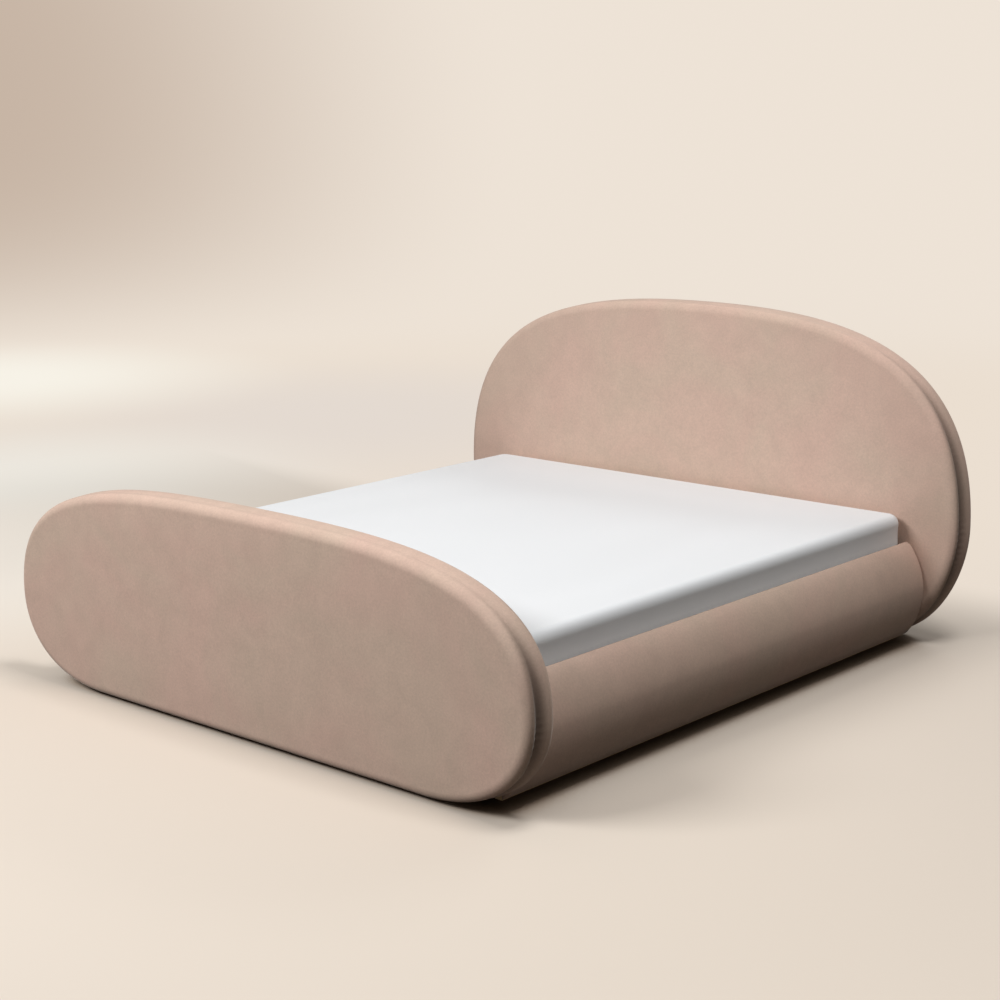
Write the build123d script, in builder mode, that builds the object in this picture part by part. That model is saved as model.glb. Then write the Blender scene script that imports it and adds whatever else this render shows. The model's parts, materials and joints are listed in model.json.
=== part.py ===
"""Oval ottoman bed, in millimetres.

X runs across the bed, Y runs from the footboard to the headboard and Z is up. The origin is on the floor,
at the middle of the plan. At rest the bed is closed; the lift frame opens at its foot end.
"""

import os
from math import atan2, cos, radians, sin

from build123d import *

os.makedirs("parts", exist_ok=True)

# Mattress and the space between the two panels
mattress_width = 1800
mattress_length = 2000
mattress_thickness = 200
mattress_plan_radius = 60
mattress_top_radius = 38
mattress_base_radius = 24
mattress_head_gap = 8
mattress_foot_gap = 52
mattress_side_gap = 5

# Upholstered panels, shares are of the span that each curve's handle lies on
panel_side_reach = 109
panel_depth = 105
panel_floor_gap = 8
panel_edge_radius = 35
seam_depth = 2
seam_width = 4
cover_thickness = 4
foam_front_depth = 40
core_thickness = 18
core_inset = 20
back_thickness = 8
upright_width = 60
batten_height = 70
upright_foot_height = 75
batten_top_share = 0.7
soft_gap = 0.3

headboard_height = 1097
headboard_widest_share = 0.3756
headboard_flat_share = 0.7262
headboard_shape_shares = (0.534, 0.889, 0.477, 0.540)

footboard_height = 690
footboard_widest_share = 0.4275
footboard_flat_share = 0.6392
footboard_shape_shares = (0.568, 0.950, 0.586, 0.621)

# Side rails with a barrel section, shares as on the panels
rail_top = 351
rail_bottom = 24
rail_reach = 78
rail_widest_height = 205
rail_shape_shares = (0.453, 0.386, 0.601, 0.271)
rail_foam_min = 2
rail_board_thickness = 18

# Storage floor
ledge_width = 25
ledge_height = 20
floor_panel_count = 4
floor_panel_thickness = 6
floor_panel_gap = 1
batten_width = 40
batten_rise = 36
glide_radius = 14
floor_foot_count = 3
glide_inset = 150

# Fasteners
bolt_radius = 4
bolt_head_radius = 9
bolt_head_height = 5
nut_radius = 8
nut_height = 6
screw_radius = 2.5
screw_head_radius = 5.5
screw_length = 19
fastener_gap = 0.2
plate_thickness = 4
bracket_leg = 40
bracket_foot_height = 60
bracket_length = 130
bracket_hole_inset = 25

# Lift frame
frame_side_gap = 44
frame_head_gap = 32
tube_height = 40
tube_width = 25
tube_wall = 1.5
slat_count = 14
slat_width = 53
slat_thickness = 8
slat_crown = 6.4
slat_top_gap = 0.3
slat_end_gap = 7
holder_wall = 2
holder_gap = 0.3
holder_overhang = 14
retainer_width = 220
retainer_rise = 110
retainer_radius = 6
retainer_bend_radius = 50
strap_width = 40
strap_thickness = 4
strap_rise = 150
strap_spacing = 600
rest_block_length = 80
rest_block_width = 62
rest_block_place = 140
rest_pad_height = 6
rest_gap = 0.3

# Lift mechanism at rest, pivots as (Y, Z) reaches from the tip of the short arm
tip_head_gap = 100.5
plate_floor_gap = 18.3
short_arm_base_reach = (-394.5, -46)
long_arm_base_reach = (-513.5, -126.5)
long_arm_tip_reach = (-39.5, -45)
strut_base_reach = (-369.5, -128)
strut_lead_angle = 0.55
arm_thickness = 5
arm_half_width = 16
running_gap = 1
pivot_radius = 6
pivot_gap = 0.05
open_pivot_gap = 0.8
pivot_head_radius = 9
pivot_head_height = 3
tip_boss_radius = 14
bar_front_reach = (-57.5, 4)
bar_rear_reach = (40.5, 0)
post_length = 22
post_height = 24
lift_plate_margin = 16
lift_plate_tail = 60
strut_radius = 11
strut_wall = 1.5
strut_rod_radius = 4
strut_eye_radius = 10
strut_stud_radius = 5
strut_eye_reach = 20
strut_rod_show = 76
strut_overlap_gap = 30

# One overrun for every through cut
overrun = 5

# Places that follow from the sizes above
inner_length = mattress_length + mattress_head_gap + mattress_foot_gap
rail_inner = mattress_width / 2 + mattress_side_gap
rail_outer = rail_inner + rail_reach
panel_half_width = rail_outer + panel_side_reach
panel_face = inner_length / 2
panel_outer = panel_face + panel_depth
mattress_head = panel_face - mattress_head_gap
mattress_foot = mattress_head - mattress_length
floor_top = ledge_height + rail_bottom + floor_panel_thickness

# Pivots, and the lift frame's height, which follows from the pivot that is lowest
lowest_reach = min(strut_base_reach[1], long_arm_base_reach[1], short_arm_base_reach[1])
short_arm_tip = (panel_face - tip_head_gap, floor_top + plate_floor_gap + lift_plate_margin - lowest_reach)


def pivot_place(reach):
    """Place in Y and Z at a reach from the tip of the short arm."""
    return (short_arm_tip[0] + reach[0], short_arm_tip[1] + reach[1])


short_arm_base = pivot_place(short_arm_base_reach)
long_arm_base = pivot_place(long_arm_base_reach)
long_arm_tip = pivot_place(long_arm_tip_reach)
strut_base = pivot_place(strut_base_reach)
bar_front_post = pivot_place(bar_front_reach)
bar_rear_post = pivot_place(bar_rear_reach)
tube_middle = short_arm_tip[1]
tube_top = tube_middle + tube_height / 2
tube_base = tube_top - tube_height
mattress_base = tube_top + holder_wall + slat_thickness + slat_crown + slat_top_gap

# Layers of the mechanism along X: lift plate, short arm, long arm, lift bar, strut, lift frame
frame_outer = mattress_width / 2 - frame_side_gap
frame_head = mattress_head - frame_head_gap
frame_foot = mattress_foot
plate_face = rail_inner - plate_thickness
short_outer = plate_face - running_gap
short_inner = short_outer - arm_thickness
long_outer = short_inner - running_gap
long_inner = long_outer - arm_thickness
bar_outer = long_inner - running_gap
bar_inner = bar_outer - plate_thickness
strut_plane = (bar_inner - pivot_head_height + frame_outer) / 2


def save(part, name):
    """Label one finished piece and write it."""
    part.label = name
    export_step(part, f"parts/{name}.step")


def across(y):
    """Plane that faces the foot of the bed at the place y."""
    return Plane.XZ.offset(-y)


def along(x):
    """Plane that faces +X at the place x, with sketches in Y and Z."""
    return Plane.YZ.offset(x)


def mirrored(part):
    """The same piece on the other side of the bed."""
    return mirror(part, about=Plane.YZ)


def panel_face_sketch(panel, inset=0):
    """Oval outline of a panel: two curves a side and a flat foot, drawn in by inset."""
    height, widest_share, flat_share, shares = panel
    top_share, shoulder_share, hip_share, toe_share = shares
    widest = height * widest_share
    flat = panel_half_width * flat_share
    half = panel_half_width - inset
    top = height - inset
    foot = panel_floor_gap + inset
    with BuildSketch() as face:
        with BuildLine():
            crown = Bezier(
                (0, top),
                (half * top_share, top),
                (half, widest + (top - widest) * shoulder_share),
                (half, widest),
            )
            hip = Bezier(
                crown @ 1,
                (half, widest - (widest - foot) * hip_share),
                (flat + (half - flat) * toe_share, foot),
                (flat, foot),
            )
            Line(hip @ 1, (0, foot))
            mirror(about=Plane.YZ)
        make_face()
    return face.sketch


def panel_block(panel, inset, front, back, radius=0):
    """Solid slab of a panel's outline from front to back, with its front edge rounded."""
    with BuildPart() as block:
        with BuildSketch(across(back)):
            add(panel_face_sketch(panel, inset))
        extrude(amount=back - front)
        if radius:
            fillet(block.edges().group_by(Axis.Y)[0], radius)
    return block.part


def bolt_places():
    """Centres of the bed bolts, in X and Z, two in each bottom corner."""
    x = rail_inner - bracket_leg / 2
    heights = [
        bracket_foot_height + bracket_hole_inset,
        bracket_foot_height + bracket_length - bracket_hole_inset,
    ]
    return [(side * x, z) for side in (-1, 1) for z in heights]


def bolt_holes(low, high, radius):
    """Round bars where the bed bolts pass, from low to high along Y, to be taken out of a piece."""
    with BuildPart() as bars:
        with BuildSketch(across(high)):
            with Locations(*bolt_places()):
                Circle(radius)
        extrude(amount=high - low)
    return bars.part


headboard = (headboard_height, headboard_widest_share, headboard_flat_share, headboard_shape_shares)
footboard = (footboard_height, footboard_widest_share, footboard_flat_share, footboard_shape_shares)
hole_radius = bolt_radius + fastener_gap
pad_front = cover_thickness + soft_gap
core_front = cover_thickness + foam_front_depth
core_back = core_front + core_thickness
batten_back = panel_depth - back_thickness
back_inset = cover_thickness + soft_gap
seam_place = panel_edge_radius + seam_width / 2


def make_cover(panel, front, holes):
    """Velvet cover: a shell over the front and the side band, with a sewn seam round the band."""
    space = panel_block(
        panel, cover_thickness, front + cover_thickness, front + panel_depth,
        panel_edge_radius - cover_thickness,
    )
    with BuildPart() as cover:
        add(panel_block(panel, 0, front, front + panel_depth, panel_edge_radius))
        with BuildSketch(across(front + seam_place + seam_width / 2)):
            add(panel_face_sketch(panel, -seam_depth))
            add(panel_face_sketch(panel, seam_depth), mode=Mode.SUBTRACT)
        extrude(amount=seam_width, mode=Mode.SUBTRACT)
        add(space, mode=Mode.SUBTRACT)
        if holes:
            add(bolt_holes(front, front + panel_depth, hole_radius), mode=Mode.SUBTRACT)
    return cover.part


def make_foam(panel, front, bolt_room):
    """Foam: a thick front pad and a skirt round the core board and its battens."""
    back = front + batten_back
    with BuildPart() as foam:
        add(panel_block(panel, pad_front, front + pad_front, back, panel_edge_radius - pad_front))
        with BuildSketch(across(back)):
            add(panel_face_sketch(panel, core_inset))
        extrude(amount=back - front - core_front, mode=Mode.SUBTRACT)
        add(bolt_holes(*bolt_room), mode=Mode.SUBTRACT)
    return foam.part


def make_core(panel, front):
    """Core board behind the front pad."""
    with BuildPart() as core:
        add(panel_block(panel, core_inset + soft_gap, front + core_front, front + core_back))
        add(bolt_holes(front + core_front, front + core_back, hole_radius), mode=Mode.SUBTRACT)
    return core.part


def make_battens(panel, front, nut_seat):
    """Two uprights and two cross battens behind the core board."""
    height = panel[0]
    top = height * batten_top_share
    outer = rail_inner + upright_width / 2 - bracket_leg / 2
    with BuildPart() as battens:
        with BuildSketch(across(front + batten_back)):
            for side in (-1, 1):
                with Locations((side * (outer - upright_width / 2), (top + upright_foot_height) / 2)):
                    Rectangle(upright_width, top - upright_foot_height)
            for middle in (upright_foot_height + batten_height / 2, top - batten_height / 2):
                with Locations((0, middle)):
                    Rectangle(2 * (outer - upright_width - soft_gap), batten_height)
        extrude(amount=batten_back - core_back)
        add(bolt_holes(front + core_back, front + batten_back, hole_radius), mode=Mode.SUBTRACT)
        if nut_seat:
            seat = front + batten_back
            add(bolt_holes(seat - nut_height - soft_gap, seat, nut_radius + fastener_gap), mode=Mode.SUBTRACT)
    return battens.part


def make_back(panel, front, holes):
    """Closing panel on the side away from the front pad."""
    with BuildPart() as back:
        add(panel_block(panel, back_inset, front + batten_back, front + panel_depth))
        if holes:
            add(bolt_holes(front + batten_back, front + panel_depth, hole_radius), mode=Mode.SUBTRACT)
    return back.part


# Headboard
headboard_front = panel_face
head_room = (headboard_front, headboard_front + batten_back, hole_radius)
save(make_cover(headboard, headboard_front, True), "headboard_cover")
save(make_foam(headboard, headboard_front, head_room), "headboard_foam")
save(make_core(headboard, headboard_front), "headboard_core")
save(make_battens(headboard, headboard_front, True), "headboard_battens")
save(make_back(headboard, headboard_front, False), "headboard_back_panel")

# Footboard
footboard_front = -panel_outer
nut_front = footboard_front + core_front - nut_height
foot_room = (nut_front - soft_gap, footboard_front + core_front, nut_radius + fastener_gap)
save(make_cover(footboard, footboard_front, False), "footboard_cover")
save(make_foam(footboard, footboard_front, foot_room), "footboard_foam")
save(make_core(footboard, footboard_front), "footboard_core")
save(make_battens(footboard, footboard_front, False), "footboard_battens")
save(make_back(footboard, footboard_front, True), "footboard_inner_panel")

# Glides under both panels, on the cover's flat foot
with BuildPart() as glides:
    with BuildSketch():
        for y in (panel_face + panel_depth / 2, -panel_face - panel_depth / 2):
            for x in (panel_half_width * footboard_flat_share - glide_inset, glide_inset):
                with Locations((x, y), (-x, y)):
                    Circle(glide_radius)
    extrude(amount=panel_floor_gap)
save(glides.part, "panel_glides")


def rail_sketch(inset=0):
    """Barrel section of the right rail: flat inner side, and a curved outer side drawn in by inset."""
    top_share, shoulder_share, hip_share, toe_share = rail_shape_shares
    top = rail_top - inset
    bottom = rail_bottom + inset
    reach = rail_reach - inset
    outer = rail_outer - inset
    with BuildSketch() as section:
        with BuildLine():
            upper = Bezier(
                (rail_inner, top),
                (rail_inner + reach * top_share, top),
                (outer, rail_widest_height + (top - rail_widest_height) * shoulder_share),
                (outer, rail_widest_height),
            )
            lower = Bezier(
                upper @ 1,
                (outer, rail_widest_height - (rail_widest_height - bottom) * hip_share),
                (rail_inner + reach * toe_share, bottom),
                (rail_inner, bottom),
            )
            Line(lower @ 1, upper @ 0)
        make_face()
    return section.sketch


def rail_block(inset=0):
    """Full length of the rail's section, drawn in by inset except at the flat inner side."""
    with BuildPart() as block:
        with BuildSketch(across(panel_face)):
            add(rail_sketch(inset))
        extrude(amount=inner_length)
    return block.part


# Right rail, mirrored for the left
board_inset = cover_thickness + rail_foam_min
board_outer = rail_inner + rail_board_thickness
with BuildPart() as rail_cover:
    add(rail_block())
    add(rail_block(cover_thickness), mode=Mode.SUBTRACT)

with BuildPart() as rail_board:
    add(rail_block(board_inset))
    with BuildSketch(across(panel_face)):
        with Locations(((board_outer + rail_outer) / 2, (rail_top + rail_bottom) / 2)):
            Rectangle(rail_outer - board_outer, rail_top - rail_bottom)
    extrude(amount=inner_length, mode=Mode.SUBTRACT)

with BuildPart() as rail_foam:
    add(rail_block(cover_thickness + soft_gap))
    add(rail_board.part, mode=Mode.SUBTRACT)

# Screws into the rail boards: corner brackets and lift plates
bracket_screw_y = panel_face - bracket_leg / 2
bracket_heights = [z for x, z in bolt_places() if x > 0]
bracket_screw_places = [(side * bracket_screw_y, z) for side in (-1, 1) for z in bracket_heights]
plate_tail = (long_arm_base[0] - lift_plate_tail, short_arm_base[1])
plate_screw_places = [
    plate_tail,
    (long_arm_base[0] + lift_plate_tail, short_arm_base[1]),
    (short_arm_base[0] + lift_plate_tail, short_arm_base[1]),
    (long_arm_base[0] + lift_plate_tail, long_arm_base[1]),
]
screw_places = bracket_screw_places + plate_screw_places

with BuildPart() as drilled_board:
    add(rail_board.part)
    with BuildSketch(along(rail_inner)):
        with Locations(*screw_places):
            Circle(screw_radius + fastener_gap)
    extrude(amount=rail_board_thickness - fastener_gap, mode=Mode.SUBTRACT)

head_cone = screw_head_radius - screw_radius
with BuildPart() as one_screw:
    with BuildSketch(Plane.XZ):
        with BuildLine():
            Polyline(
                (0, 0),
                (screw_head_radius, 0),
                (screw_radius, -head_cone),
                (screw_radius, -screw_length),
                (0, -screw_length),
                close=True,
            )
        make_face()
    revolve(axis=Axis.Z)


def driven_screws(face_x, places):
    """Screws driven towards +X, their heads flush with the place face_x."""
    turn = Rotation(0, -90, 0)
    return [Pos(face_x, y, z) * turn * one_screw.part for y, z in places]


screws = driven_screws(plate_face, screw_places)
rail_screws = Compound(children=screws + [mirrored(screw) for screw in screws])
save(rail_screws, "rail_screws")

for name, part in (("cover", rail_cover.part), ("foam", rail_foam.part), ("board", drilled_board.part)):
    save(part, f"rail_{name}_right")
    save(mirrored(part), f"rail_{name}_left")


def countersink(places):
    """Countersunk holes for the rail screws in the plate being built, from its inner face."""
    with Locations(*[Location((plate_face, y, z), (0, -90, 0)) for y, z in places]):
        CounterSinkHole(
            screw_radius + fastener_gap,
            screw_head_radius + fastener_gap,
            depth=plate_thickness + overrun,
            counter_sink_angle=90,
        )


# Corner brackets: steel angles that join the rail boards to the panels
with BuildPart() as one_bracket:
    with BuildSketch(Plane.XY.offset(bracket_foot_height)):
        with BuildLine():
            Polyline(
                (rail_inner, panel_face),
                (rail_inner - bracket_leg, panel_face),
                (rail_inner - bracket_leg, panel_face - plate_thickness),
                (plate_face, panel_face - plate_thickness),
                (plate_face, panel_face - bracket_leg),
                (rail_inner, panel_face - bracket_leg),
                close=True,
            )
        make_face()
    extrude(amount=bracket_length)
    countersink([place for place in bracket_screw_places if place[0] > 0])
    add(bolt_holes(panel_face - plate_thickness, panel_face, hole_radius), mode=Mode.SUBTRACT)
head_right = one_bracket.part
foot_right = mirror(head_right, about=Plane.XZ)
brackets = [head_right, foot_right, mirrored(head_right), mirrored(foot_right)]
save(Compound(children=brackets), "corner_brackets")


def bolt_and_nut(end):
    """Bolt solid and nut solid along Y; the head is on a bracket and end is where the nut stops."""
    seat = panel_face - plate_thickness
    with BuildPart() as bolt:
        with BuildSketch(across(seat)):
            RegularPolygon(bolt_head_radius, 6)
        extrude(amount=bolt_head_height)
        with BuildSketch(across(end)):
            Circle(bolt_radius)
        extrude(amount=end - seat)
    with BuildPart() as nut:
        with BuildSketch(across(end)):
            Circle(nut_radius)
            Circle(bolt_radius, mode=Mode.SUBTRACT)
        extrude(amount=nut_height)
    return bolt.part, nut.part


# Bed bolts and nuts: behind the battens at the head, behind the core board at the foot
head_end = panel_face + batten_back - soft_gap
foot_end = panel_face + panel_depth - core_front + nut_height
head_bolt, head_nut = bolt_and_nut(head_end)
foot_bolt, foot_nut = bolt_and_nut(foot_end)
bolts = [Pos(x, 0, z) * head_bolt for x, z in bolt_places()]
bolts += [mirror(Pos(x, 0, z) * foot_bolt, about=Plane.XZ) for x, z in bolt_places()]
nuts = [Pos(x, 0, z) * head_nut for x, z in bolt_places()]
nuts += [mirror(Pos(x, 0, z) * foot_nut, about=Plane.XZ) for x, z in bolt_places()]
save(Compound(children=bolts), "bed_bolts")
save(Compound(children=nuts), "bed_nuts")

# Storage floor: ledges on the rails, a middle batten on feet, and panels laid across
ledge_base = rail_bottom
with BuildPart() as ledge:
    with BuildSketch(Plane.XY.offset(ledge_base)):
        with Locations((rail_inner - ledge_width / 2, 0)):
            Rectangle(ledge_width, inner_length)
    extrude(amount=ledge_height)
save(ledge.part, "ledge_right")
save(mirrored(ledge.part), "ledge_left")

panel_base = ledge_base + ledge_height
foot_rise = panel_base - batten_rise
with BuildPart() as centre_batten:
    with BuildSketch(Plane.XY.offset(foot_rise)):
        Rectangle(batten_width, inner_length)
    extrude(amount=batten_rise)
save(centre_batten.part, "centre_batten")

foot_spacing = inner_length / (floor_foot_count + 1)
with BuildPart() as centre_feet:
    with BuildSketch():
        with GridLocations(0, foot_spacing, 1, floor_foot_count):
            Circle(glide_radius)
    extrude(amount=foot_rise)
save(centre_feet.part, "centre_feet")

panel_pitch = inner_length / floor_panel_count
for number in range(floor_panel_count):
    middle = -panel_face + panel_pitch * (number + 0.5)
    with BuildPart() as floor_panel:
        with BuildSketch(Plane.XY.offset(panel_base)):
            with Locations((0, middle)):
                Rectangle(2 * (rail_inner - soft_gap), panel_pitch - floor_panel_gap)
        extrude(amount=floor_panel_thickness)
    save(floor_panel.part, f"floor_panel_{number + 1}")

# Rest blocks on the rails near the foot, with rubber pads just under the lift frame
pad_top = tube_base - rest_gap
block_top = pad_top - rest_pad_height
block_middle = (rail_inner - rest_block_width / 2, -panel_face + rest_block_place)
for name, low, high in (("rest_blocks", floor_top, block_top), ("rest_pads", block_top, pad_top)):
    with BuildPart() as rest:
        with BuildSketch(Plane.XY.offset(low)):
            with Locations(block_middle, (-block_middle[0], block_middle[1])):
                Rectangle(rest_block_width, rest_block_length)
        extrude(amount=high - low)
    save(rest.part, name)


def tube_sketch(wide, high):
    """Hollow rectangular section."""
    Rectangle(wide, high)
    Rectangle(wide - 2 * tube_wall, high - 2 * tube_wall, mode=Mode.SUBTRACT)


# Lift frame of rectangular tubes, butted and welded
side_middle = frame_outer - tube_width / 2
frame_length = frame_head - frame_foot
cross_length = 2 * (frame_outer - tube_width)
for name, x, start, end in (
    ("side_tube_right", side_middle, frame_foot, frame_head),
    ("side_tube_left", -side_middle, frame_foot, frame_head),
    ("centre_tube", 0, frame_foot + tube_width, frame_head - tube_width),
):
    with BuildPart() as tube:
        with BuildSketch(across(end)):
            with Locations((x, tube_middle)):
                tube_sketch(tube_width, tube_height)
        extrude(amount=end - start)
    save(tube.part, name)
for name, y in (("head_tube", frame_head - tube_width / 2), ("foot_tube", frame_foot + tube_width / 2)):
    with BuildPart() as tube:
        with BuildSketch(along(-cross_length / 2)):
            with Locations((y, tube_middle)):
                tube_sketch(tube_width, tube_height)
        extrude(amount=cross_length)
    save(tube.part, name)

# Sprung slats in two columns
slat_start = slat_end_gap
slat_end = frame_outer - slat_end_gap
slat_base = tube_top + holder_wall
slat_pitch = (frame_length - 2 * tube_width) / slat_count
slat_rows = [frame_foot + tube_width + slat_pitch * (row + 0.5) for row in range(slat_count)]
with BuildPart() as slats:
    for y in slat_rows:
        with BuildSketch(across(y + slat_width / 2)):
            middle_x = (slat_start + slat_end) / 2
            with BuildLine():
                low = ThreePointArc(
                    (slat_start, slat_base), (middle_x, slat_base + slat_crown), (slat_end, slat_base)
                )
                high = ThreePointArc(
                    (slat_end, slat_base + slat_thickness),
                    (middle_x, slat_base + slat_crown + slat_thickness),
                    (slat_start, slat_base + slat_thickness),
                )
                Line(low @ 1, high @ 0)
                Line(high @ 1, low @ 0)
            make_face()
        extrude(amount=slat_width)
save(slats.part, "slats_right")
save(mirrored(slats.part), "slats_left")


def slat_holders(holder_low, holder_high, ends):
    """Caps on a tube that hold the slat ends; ends are the spans along X that the slats fill."""
    with BuildPart() as holders:
        for y in slat_rows:
            width = slat_width + 2 * (holder_gap + holder_wall)
            high = slat_thickness + slat_crown / 2 + holder_gap + holder_wall
            with BuildSketch(Plane.XY.offset(tube_top)):
                with Locations(((holder_low + holder_high) / 2, y)):
                    Rectangle(holder_high - holder_low, width)
            extrude(amount=holder_wall + high)
            with BuildSketch(Plane.XY.offset(slat_base)):
                for low, end in ends:
                    with Locations(((low + end) / 2, y)):
                        Rectangle(end - low, slat_width + 2 * holder_gap)
            extrude(amount=high - holder_wall, mode=Mode.SUBTRACT)
    return holders.part


end_stop = slat_end + holder_gap
side_holders = slat_holders(
    frame_outer - tube_width - holder_overhang,
    frame_outer,
    [(frame_outer - tube_width - holder_overhang - overrun, end_stop)],
)
save(Compound(children=[side_holders, mirrored(side_holders)]), "slat_holders_side")
centre_reach = tube_width / 2 + holder_overhang
start_stop = slat_start - holder_gap
centre_holders = slat_holders(
    -centre_reach,
    centre_reach,
    [(start_stop, centre_reach + overrun), (-centre_reach - overrun, -start_stop)],
)
save(centre_holders, "slat_holders_centre")

# Mattress retainer: a bent rod on the foot tube that keeps the mattress in place
hoop_y = frame_foot - retainer_radius
hoop_half = retainer_width / 2 - retainer_radius
hoop_top = mattress_base + retainer_rise
with BuildPart() as retainer:
    with BuildLine():
        FilletPolyline(
            (-hoop_half, hoop_y, tube_base),
            (-hoop_half, hoop_y, hoop_top),
            (hoop_half, hoop_y, hoop_top),
            (hoop_half, hoop_y, tube_base),
            radius=retainer_bend_radius,
        )
    with BuildSketch(Plane.XY.offset(tube_base)):
        with Locations((-hoop_half, hoop_y)):
            Circle(retainer_radius)
    sweep()
save(retainer.part, "mattress_retainer")

# Pull straps on the foot tube
with BuildPart() as straps:
    with BuildSketch(Plane.XY.offset(tube_base)):
        with Locations(
            (strap_spacing / 2, frame_foot - strap_thickness / 2),
            (-strap_spacing / 2, frame_foot - strap_thickness / 2),
        ):
            Rectangle(strap_width, strap_thickness)
    extrude(amount=tube_height + strap_rise)
    fillet(straps.edges().filter_by(Axis.Y).group_by(Axis.Z)[-1], strap_width / 2 - soft_gap)
save(straps.part, "pull_straps")

# Mattress
with BuildPart() as mattress:
    with BuildSketch(Plane.XY.offset(mattress_base)):
        with Locations((0, (mattress_head + mattress_foot) / 2)):
            RectangleRounded(mattress_width, mattress_length, mattress_plan_radius)
    extrude(amount=mattress_thickness)
    fillet(mattress.edges().group_by(Axis.Z)[-1], mattress_top_radius)
    fillet(mattress.edges().group_by(Axis.Z)[0], mattress_base_radius)
save(mattress.part, "mattress")


def link_sketch(circles):
    """Plate outline drawn tightly round circles, each given as a centre and a radius."""
    with BuildSketch() as outline:
        for centre, radius in circles:
            with Locations(centre):
                Circle(radius)
        make_hull()
    return outline.sketch


def round_bars(places, radius, low, high):
    """Round bars along X, to be added to a piece or taken out of it."""
    with BuildPart() as bars:
        with BuildSketch(along(low)):
            with Locations(*places):
                Circle(radius)
        extrude(amount=high - low)
    return bars.part


def make_pin(place, spans):
    """Pin along X at a place, as spans of (low, high, radius)."""
    with BuildPart() as pin:
        for low, high, radius in spans:
            with BuildSketch(along(low)):
                with Locations(place):
                    Circle(radius)
            extrude(amount=high - low)
    return pin.part


# Lift plates, screwed to the rail boards
with BuildPart() as lift_plate:
    with BuildSketch(along(plate_face)):
        add(link_sketch([
            (plate_tail, lift_plate_margin),
            (long_arm_base, lift_plate_margin),
            (strut_base, lift_plate_margin),
            ((short_arm_base[0] + lift_plate_tail, short_arm_base[1]), lift_plate_margin),
        ]))
    extrude(amount=plate_thickness)
    countersink(plate_screw_places)
    add(round_bars([short_arm_base, long_arm_base], pivot_radius, plate_face, rail_inner), mode=Mode.SUBTRACT)
    add(round_bars([strut_base], strut_stud_radius, plate_face, rail_inner), mode=Mode.SUBTRACT)

# Arms: each has a seat at an end for the flush head of a pin
seat_depth = pivot_head_height + pivot_gap
bore_radius = pivot_radius + pivot_gap
seat_radius = pivot_head_radius + pivot_gap
with BuildPart() as short_arm:
    with BuildSketch(along(short_inner)):
        add(link_sketch([(short_arm_base, arm_half_width), (short_arm_tip, arm_half_width)]))
    extrude(amount=arm_thickness)
    add(round_bars([short_arm_base, short_arm_tip], bore_radius, short_inner, short_outer), mode=Mode.SUBTRACT)
    add(round_bars([short_arm_base], seat_radius, short_inner, short_inner + seat_depth), mode=Mode.SUBTRACT)
    add(round_bars([short_arm_tip], seat_radius, short_outer - seat_depth, short_outer), mode=Mode.SUBTRACT)

with BuildPart() as long_arm:
    with BuildSketch(along(long_inner)):
        add(link_sketch([(long_arm_base, arm_half_width), (long_arm_tip, arm_half_width)]))
    extrude(amount=arm_thickness)
    add(round_bars([long_arm_base], bore_radius, long_inner, long_outer), mode=Mode.SUBTRACT)
    add(round_bars([long_arm_base], seat_radius, long_inner, long_inner + seat_depth), mode=Mode.SUBTRACT)
    add(round_bars([long_arm_tip], pivot_radius + open_pivot_gap, long_inner, long_outer), mode=Mode.SUBTRACT)
    add(
        round_bars([long_arm_tip], pivot_head_radius + open_pivot_gap, long_outer - seat_depth, long_outer),
        mode=Mode.SUBTRACT,
    )

# Lift bars, welded to the side tubes through two posts
with BuildPart() as lift_bar:
    with BuildSketch(along(bar_inner)):
        add(link_sketch([
            (short_arm_tip, arm_half_width),
            (long_arm_tip, tip_boss_radius),
            (bar_front_post, tip_boss_radius),
            (bar_rear_post, arm_half_width),
        ]))
    extrude(amount=plate_thickness)
    add(round_bars([short_arm_tip, long_arm_tip], pivot_radius, bar_inner, bar_outer), mode=Mode.SUBTRACT)
    with BuildSketch(along(frame_outer)):
        with Locations(bar_front_post, bar_rear_post):
            Rectangle(post_length, post_height)
    extrude(amount=bar_inner - frame_outer)

# Pins: three on a lift plate, two on a lift bar; the one through the short arm's tip ends in the strut's stud
strut_stud_end = strut_plane - strut_radius
base_pins = [
    make_pin(place, [
        (inner, inner + pivot_head_height, pivot_head_radius),
        (inner + pivot_head_height, rail_inner, pivot_radius),
    ])
    for place, inner in ((short_arm_base, short_inner), (long_arm_base, long_inner))
]
base_pins.append(make_pin(strut_base, [(strut_stud_end, rail_inner, strut_stud_radius)]))
bar_pins = [
    make_pin(place, [
        (bar_inner - pivot_head_height, bar_inner, pivot_head_radius),
        (bar_inner, outer - pivot_head_height, pivot_radius),
        (outer - pivot_head_height, outer, pivot_head_radius),
        *stud,
    ])
    for place, outer, stud in (
        (short_arm_tip, short_outer, [(strut_stud_end, bar_inner - pivot_head_height, strut_stud_radius)]),
        (long_arm_tip, long_outer, []),
    )
]

# Gas struts: a tube on the lift plate's stud and a rod on the lift bar's stud
strut_span = Vector(*short_arm_tip) - Vector(*strut_base)
strut_heading = atan2(strut_span.Y, strut_span.X) + radians(strut_lead_angle)
strut_length = strut_span.length - strut_eye_reach - strut_rod_show
eye_low = strut_plane - strut_eye_radius
eye_high = strut_plane + strut_eye_radius


def strut_axis(place, sign):
    """Plane at a strut eye whose normal runs along the strut, towards its other end."""
    y, z = place
    return Plane(
        origin=(strut_plane, y, z),
        x_dir=(1, 0, 0),
        z_dir=(0, sign * cos(strut_heading), sign * sin(strut_heading)),
    )


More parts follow.
